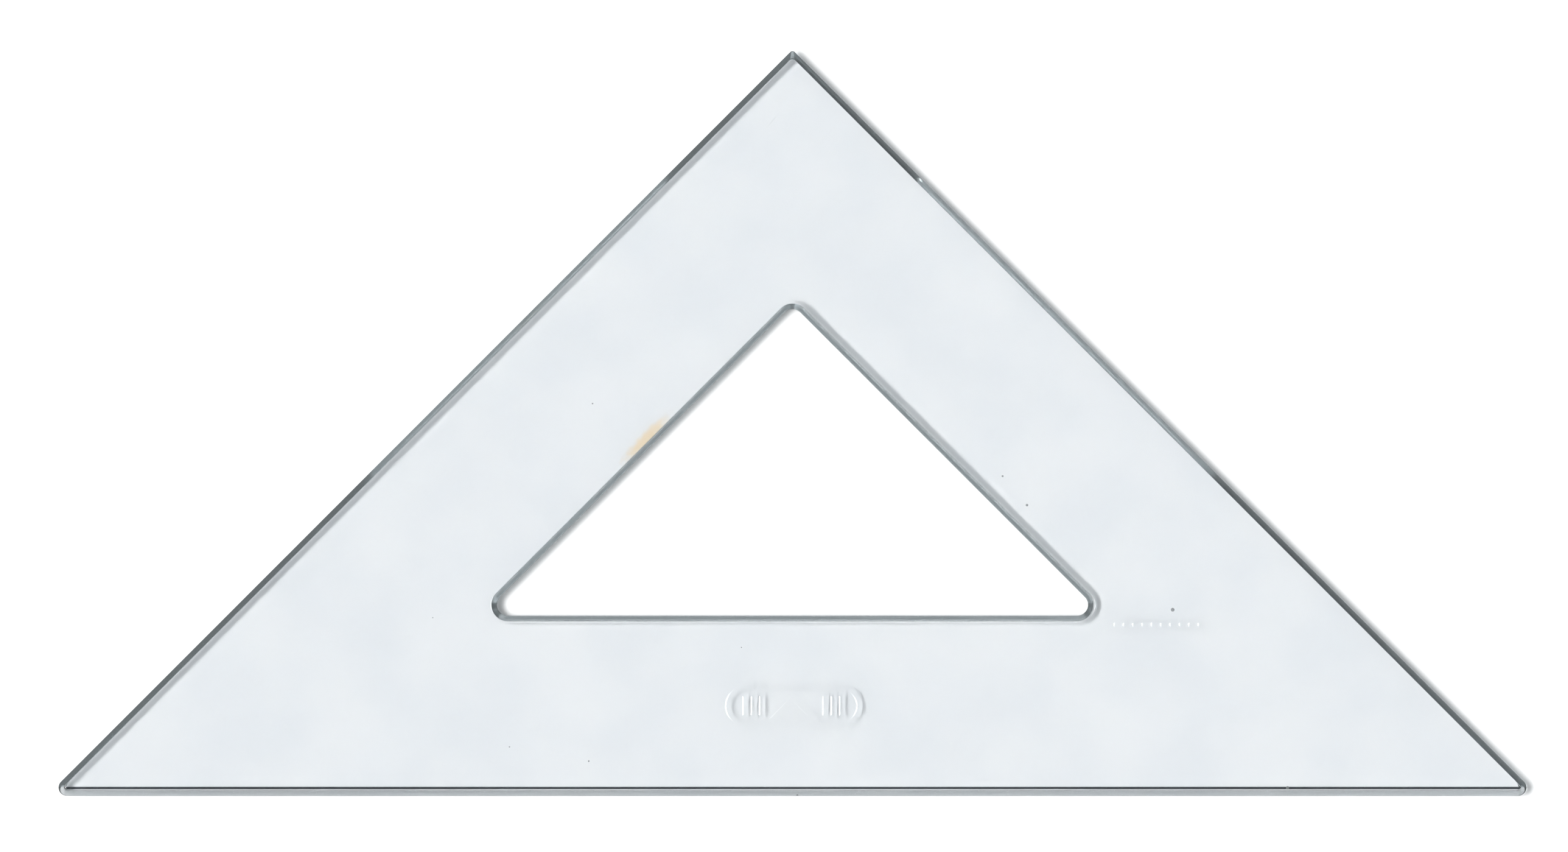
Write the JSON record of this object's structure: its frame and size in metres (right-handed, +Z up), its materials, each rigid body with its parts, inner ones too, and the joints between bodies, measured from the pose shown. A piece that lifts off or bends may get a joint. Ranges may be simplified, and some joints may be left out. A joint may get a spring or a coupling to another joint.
{
  "type": "set square",
  "caption": "Flat right-angled triangle in clear plastic with thin undercut ruling edges and a rounded triangular cut-out.",
  "frame": {"origin": "under the middle of the part's bounding box, on the underside that rests on the paper", "axes": "+X along the long edge, +Y towards the right-angled corner, +Z up out of the face with the raised marks"},
  "size_m": [0.2828, 0.1434, 0.0024],
  "materials": {
    "clear_plastic": "clear polished moulding with a pale blue-grey cast"
  },
  "bodies": {
    "root": {"set_square": "clear_plastic"}
  },
  "joints": []
}
